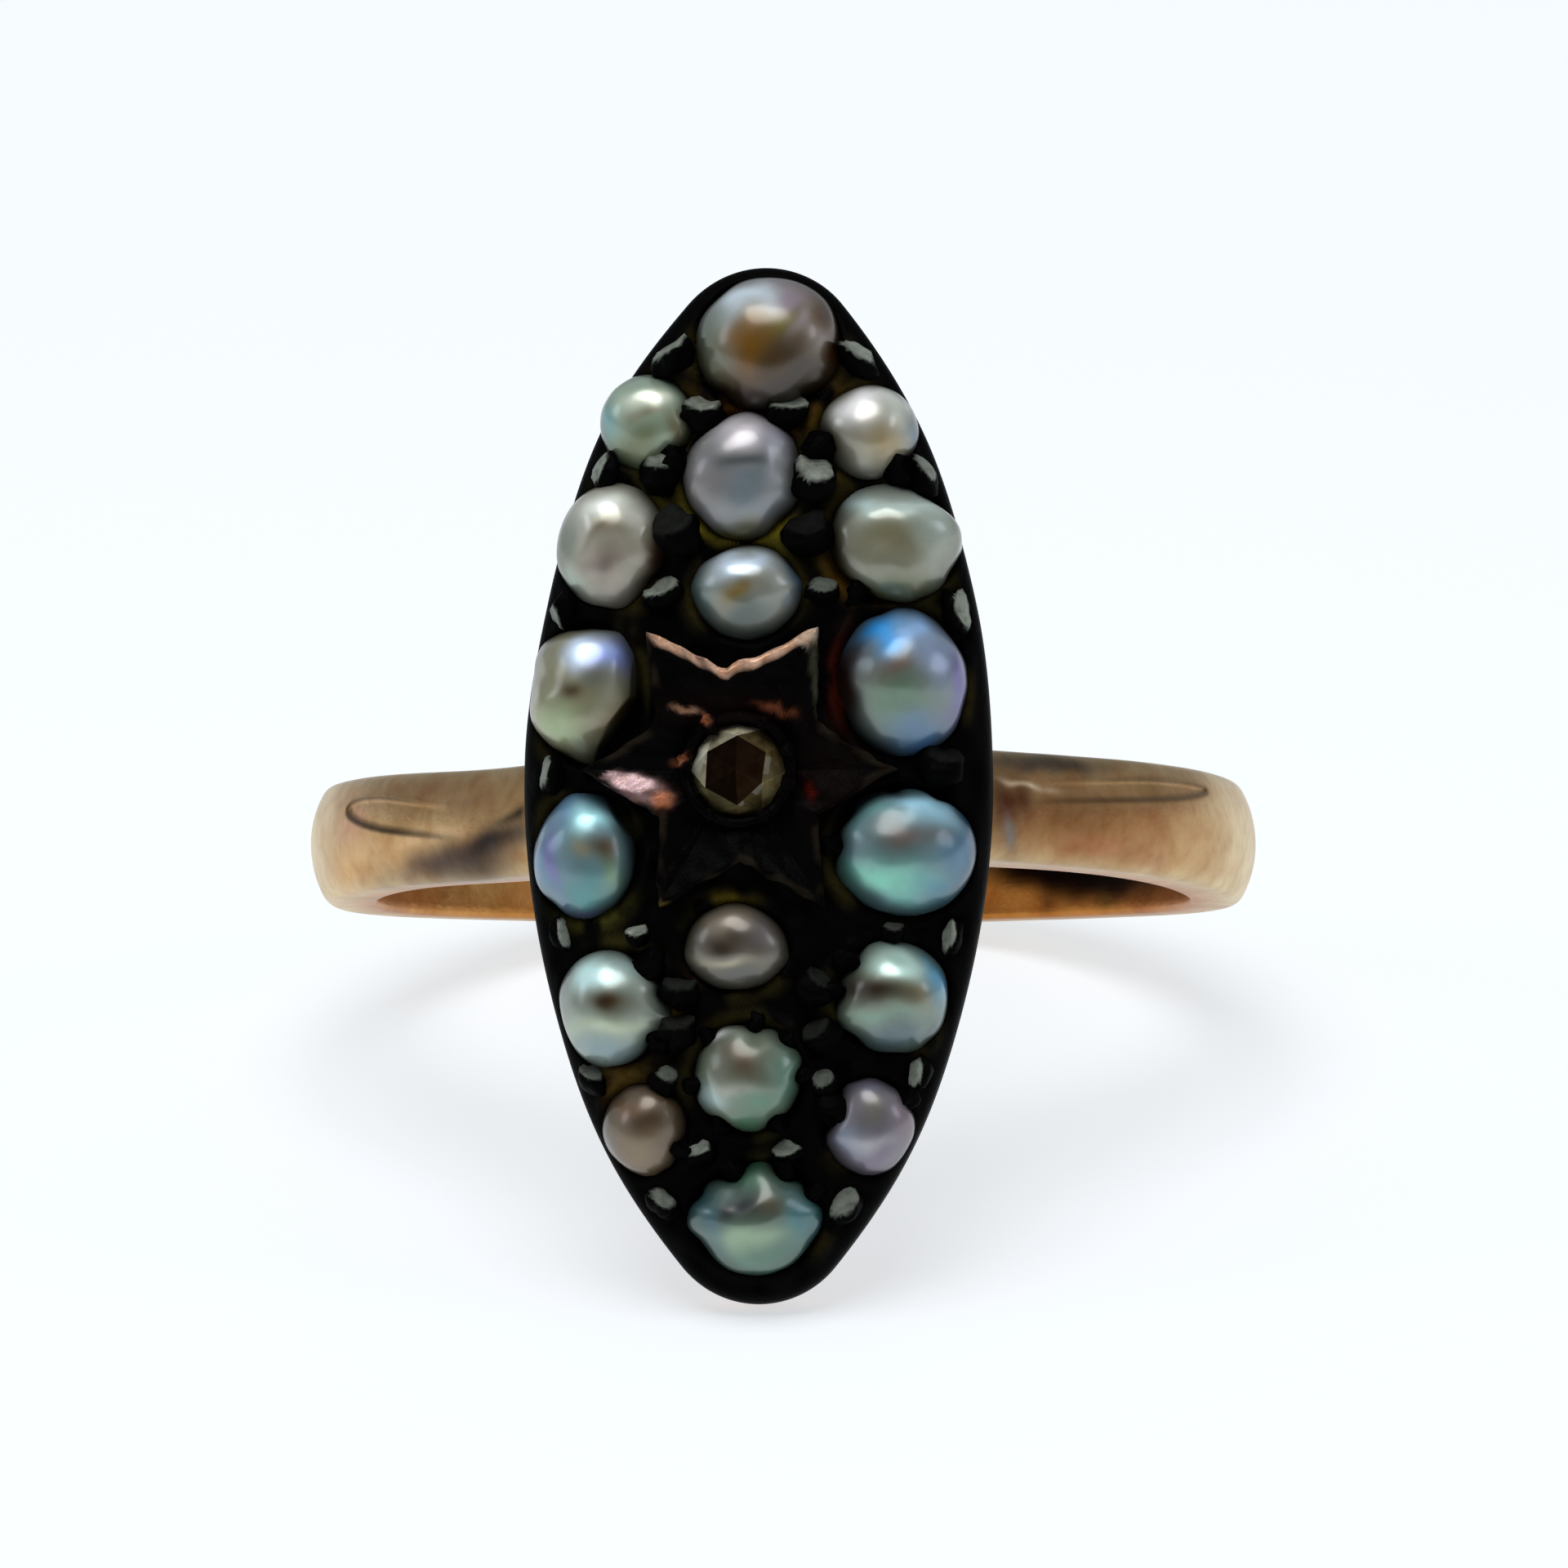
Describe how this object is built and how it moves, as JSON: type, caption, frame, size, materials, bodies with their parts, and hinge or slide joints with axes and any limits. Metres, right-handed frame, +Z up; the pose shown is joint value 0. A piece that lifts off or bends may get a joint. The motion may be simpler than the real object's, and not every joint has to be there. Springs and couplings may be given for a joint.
{
  "type": "navette ring",
  "caption": "Antique navette ring: rose gold D-section band, blackened silver bombé plate paved with half pearls, gold star with a rose-cut stone.",
  "frame": {"origin": "middle of the finger hole, half way along its wall", "axes": "+Z up from the table the ring lies on, -Y towards the head, +X to the right of someone who faces the head"},
  "size_m": [0.02, 0.0239, 0.0198],
  "materials": {
    "rose_gold": "worn satin rose gold",
    "blackened_silver": "silver blackened by age, bright on worn edges",
    "star_gold": "darkened rose gold with a bright worn rim",
    "rose_cut": "clear old rose cut over a dark foil",
    "nacre": "baroque pearl nacre with blue, green and rose overtones"
  },
  "bodies": {
    "root": {"shank": "rose_gold", "head": "blackened_silver", "star": "star_gold", "rose_cut_stone": "rose_cut", "pearl_01": "nacre", "pearl_02": "nacre", "pearl_03": "nacre", "pearl_04": "nacre", "pearl_05": "nacre", "pearl_06": "nacre", "pearl_07": "nacre", "pearl_08": "nacre", "pearl_09": "nacre", "pearl_10": "nacre", "pearl_11": "nacre", "pearl_12": "nacre", "pearl_13": "nacre", "pearl_14": "nacre", "pearl_15": "nacre", "pearl_16": "nacre", "pearl_17": "nacre", "pearl_18": "nacre"}
  },
  "joints": []
}
